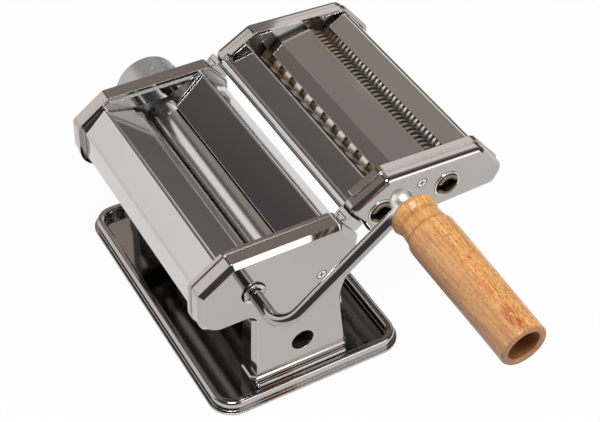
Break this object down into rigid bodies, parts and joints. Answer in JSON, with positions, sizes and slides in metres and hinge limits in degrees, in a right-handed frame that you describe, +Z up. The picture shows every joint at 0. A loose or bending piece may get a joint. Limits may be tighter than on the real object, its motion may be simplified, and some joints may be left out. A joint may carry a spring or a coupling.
{
  "type": "pasta roller machine",
  "caption": "Hand-cranked pasta machine with smooth dough rollers, a thickness dial, a clip-on cutter attachment, a flat base tray and a removable crank with a wooden handle.",
  "frame": {"origin": "centre of the base tray's underside, on the table", "axes": "+Y along the roller axes towards the thickness dial, -Y towards the crank, +X towards the cutter attachment, +Z up"},
  "size_m": [0.2063, 0.338, 0.1647],
  "materials": {
    "polished_steel": "mirror polished",
    "roller_steel": "satin ground",
    "plate_steel": "satin",
    "screw_steel": "bright",
    "gear_steel": "machined",
    "bush_brass": "satin",
    "scraper_plastic": "matt",
    "carriage_plastic": "matt",
    "dial_aluminium": "satin",
    "crank_chrome": "polished",
    "handle_wood": "satin lacquer"
  },
  "bodies": {
    "frame": {"base_tray": "polished_steel", "near_side_panel": "polished_steel", "far_side_panel": "polished_steel", "near_inner_plate": "plate_steel", "far_inner_plate": "plate_steel", "front_cover": "polished_steel", "rear_cover": "polished_steel", "near_feed_cheek": "polished_steel", "far_feed_cheek": "polished_steel", "rear_tie_rod": "plate_steel", "front_tie_rod": "plate_steel", "top_tie_rod": "plate_steel", "near_roller_bush": "bush_brass", "far_roller_bush": "bush_brass", "panel_screws": "screw_steel", "foot_screws": "screw_steel", "front_scraper": "scraper_plastic", "near_cutter_rail": "plate_steel", "far_cutter_rail": "plate_steel", "regulator_bush": "bush_brass"},
    "fixed_roller_body": {"fixed_roller": "roller_steel", "fixed_roller_gear": "gear_steel"},
    "carriage": {"near_carriage_block": "carriage_plastic", "far_carriage_block": "carriage_plastic", "rear_scraper": "scraper_plastic", "scraper_screws": "screw_steel"},
    "adjustable_roller_body": {"adjustable_roller": "roller_steel", "adjustable_roller_gear": "gear_steel"},
    "regulator": {"regulator_shaft": "plate_steel", "regulator_knob": "dial_aluminium", "stop_pin": "plate_steel", "knob_screw": "screw_steel", "spring_washer": "screw_steel"},
    "crank": {"crank_rod": "crank_chrome", "handle_washer": "screw_steel"},
    "handle": {"wooden_handle": "handle_wood"},
    "cutter": {"cutter_near_cap": "polished_steel", "cutter_far_cap": "polished_steel", "cutter_near_plate": "plate_steel", "cutter_far_plate": "plate_steel", "cutter_left_cover": "polished_steel", "cutter_centre_cover": "polished_steel", "cutter_right_cover": "polished_steel", "cutter_middle_tie_rod": "plate_steel", "cutter_right_tie_rod": "plate_steel", "cutter_screws": "screw_steel", "near_cutter_hook": "plate_steel", "far_cutter_hook": "plate_steel", "socket_bushes": "bush_brass", "cutter_small_bushes": "bush_brass", "wide_combs": "scraper_plastic", "fine_combs": "scraper_plastic"},
    "wide_driving_body": {"wide_driving_cutter": "roller_steel", "wide_driving_gear": "gear_steel"},
    "wide_driven_body": {"wide_driven_cutter": "roller_steel", "wide_driven_gear": "gear_steel"},
    "fine_driving_body": {"fine_driving_cutter": "roller_steel", "fine_driving_gear": "gear_steel"},
    "fine_driven_body": {"fine_driven_cutter": "roller_steel", "fine_driven_gear": "gear_steel"}
  },
  "joints": [
    {"name": "crank_turn", "type": "hinge", "parent": "frame", "child": "fixed_roller_body", "pos_m": [-0.039, 0, 0.09], "axis": [0, 1, 0], "continuous": true},
    {"name": "roller_gap", "type": "slide", "parent": "frame", "child": "carriage", "axis": [1, 0, 0], "range_m": [0, 0.0025]},
    {"name": "adjustable_roller_spin", "type": "hinge", "parent": "carriage", "child": "adjustable_roller_body", "pos_m": [-0.0135, 0, 0.09], "axis": [0, 1, 0], "continuous": true},
    {"name": "regulator_turn", "type": "hinge", "parent": "frame", "child": "regulator", "pos_m": [-0.01225, 0.1, 0.09], "axis": [0, -1, 0], "range_deg": [0, 150]},
    {"name": "crank_pull", "type": "slide", "parent": "fixed_roller_body", "child": "crank", "axis": [0, -1, 0], "range_m": [0, 0.03]},
    {"name": "handle_spin", "type": "hinge", "parent": "crank", "child": "handle", "pos_m": [0.03535, -0.12, 0.15151], "axis": [0, -0.9986, -0.0523], "continuous": true},
    {"name": "cutter_lift", "type": "slide", "parent": "frame", "child": "cutter", "axis": [-0.6508, 0, 0.7593], "range_m": [0, 0.02]},
    {"name": "wide_driving_spin", "type": "hinge", "parent": "cutter", "child": "wide_driving_body", "pos_m": [0.0452, 0, 0.1126], "axis": [0, 1, 0], "continuous": true},
    {"name": "wide_driven_spin", "type": "hinge", "parent": "cutter", "child": "wide_driven_body", "pos_m": [0.0622, 0, 0.1126], "axis": [0, 1, 0], "continuous": true},
    {"name": "fine_driving_spin", "type": "hinge", "parent": "cutter", "child": "fine_driving_body", "pos_m": [0.0902, 0, 0.1154], "axis": [0, 1, 0], "continuous": true},
    {"name": "fine_driven_spin", "type": "hinge", "parent": "cutter", "child": "fine_driven_body", "pos_m": [0.1072, 0, 0.1154], "axis": [0, 1, 0], "continuous": true}
  ],
  "couplings": [
    {"joint": "adjustable_roller_spin", "follows": "crank_turn", "ratio": -1},
    {"joint": "regulator_turn", "follows": "roller_gap", "rad_per_m": 1047.2},
    {"joint": "wide_driven_spin", "follows": "wide_driving_spin", "ratio": -1},
    {"joint": "fine_driven_spin", "follows": "fine_driving_spin", "ratio": -1}
  ]
}
